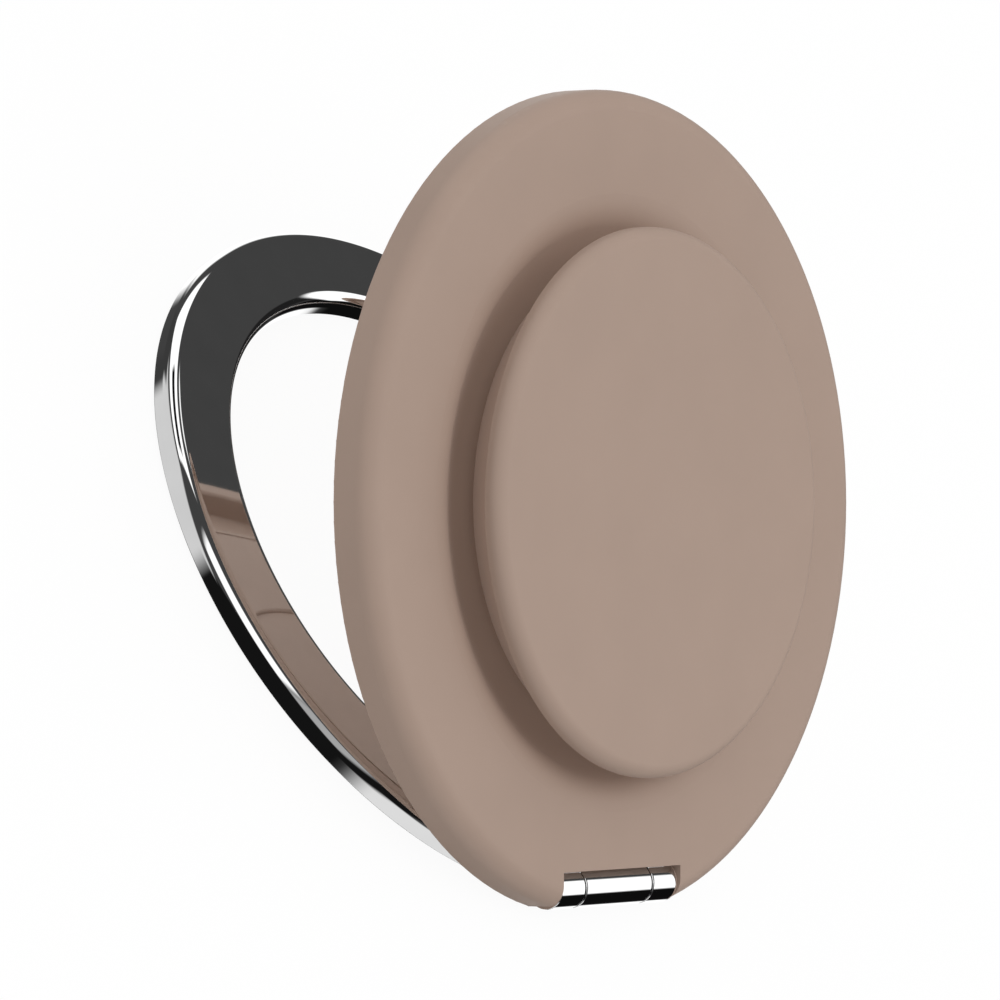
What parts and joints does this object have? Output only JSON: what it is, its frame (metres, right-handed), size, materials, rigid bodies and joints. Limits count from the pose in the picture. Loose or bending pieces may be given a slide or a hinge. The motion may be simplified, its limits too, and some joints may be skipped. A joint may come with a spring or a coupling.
{
  "type": "phone grip stand",
  "caption": "Round phone grip stand: a soft-touch plate with a pull-out grip, hinged to a bright magnetic ring that stays on the phone, so that the plate swings out as a stand.",
  "frame": {"origin": "centre of the ring of magnets, on the pad's face that lies against the phone", "axes": "+X along the hinge line, +Y from the hinge across the ring, +Z away from the phone, out of the ring towards the plate"},
  "size_m": [0.06, 0.0572, 0.032],
  "materials": {
    "ring_plating": "mirror-bright plating",
    "steel": "plain bright steel",
    "magnet_nickel": "nickel-plated magnets",
    "pad_rubber": "smooth soft pad",
    "taupe_soft_touch": "smooth soft-touch matte",
    "taupe_rubber": "matte elastomer"
  },
  "bodies": {
    "ring": {"ring_frame": "ring_plating", "shield_ring": "steel", "ring_magnets": "magnet_nickel", "phone_pad": "pad_rubber", "friction_sleeve": "steel"},
    "plate": {"hinge_leaf": "ring_plating", "hinge_pin": "steel", "plate_shell": "taupe_soft_touch", "back_cover": "taupe_soft_touch", "accordion": "taupe_rubber"},
    "grip": {"top_cap": "taupe_soft_touch", "cap_core": "taupe_soft_touch"}
  },
  "joints": [
    {"name": "plate_hinge", "type": "hinge", "parent": "ring", "child": "plate", "pos_m": [0, -0.02783, 0.00211], "axis": [1, 0, 0], "range_deg": [-30, 90]},
    {"name": "grip_pull", "type": "slide", "parent": "plate", "child": "grip", "axis": [0, -0.5, 0.866], "range_m": [0, 0.015], "deforming": ["accordion"]}
  ]
}
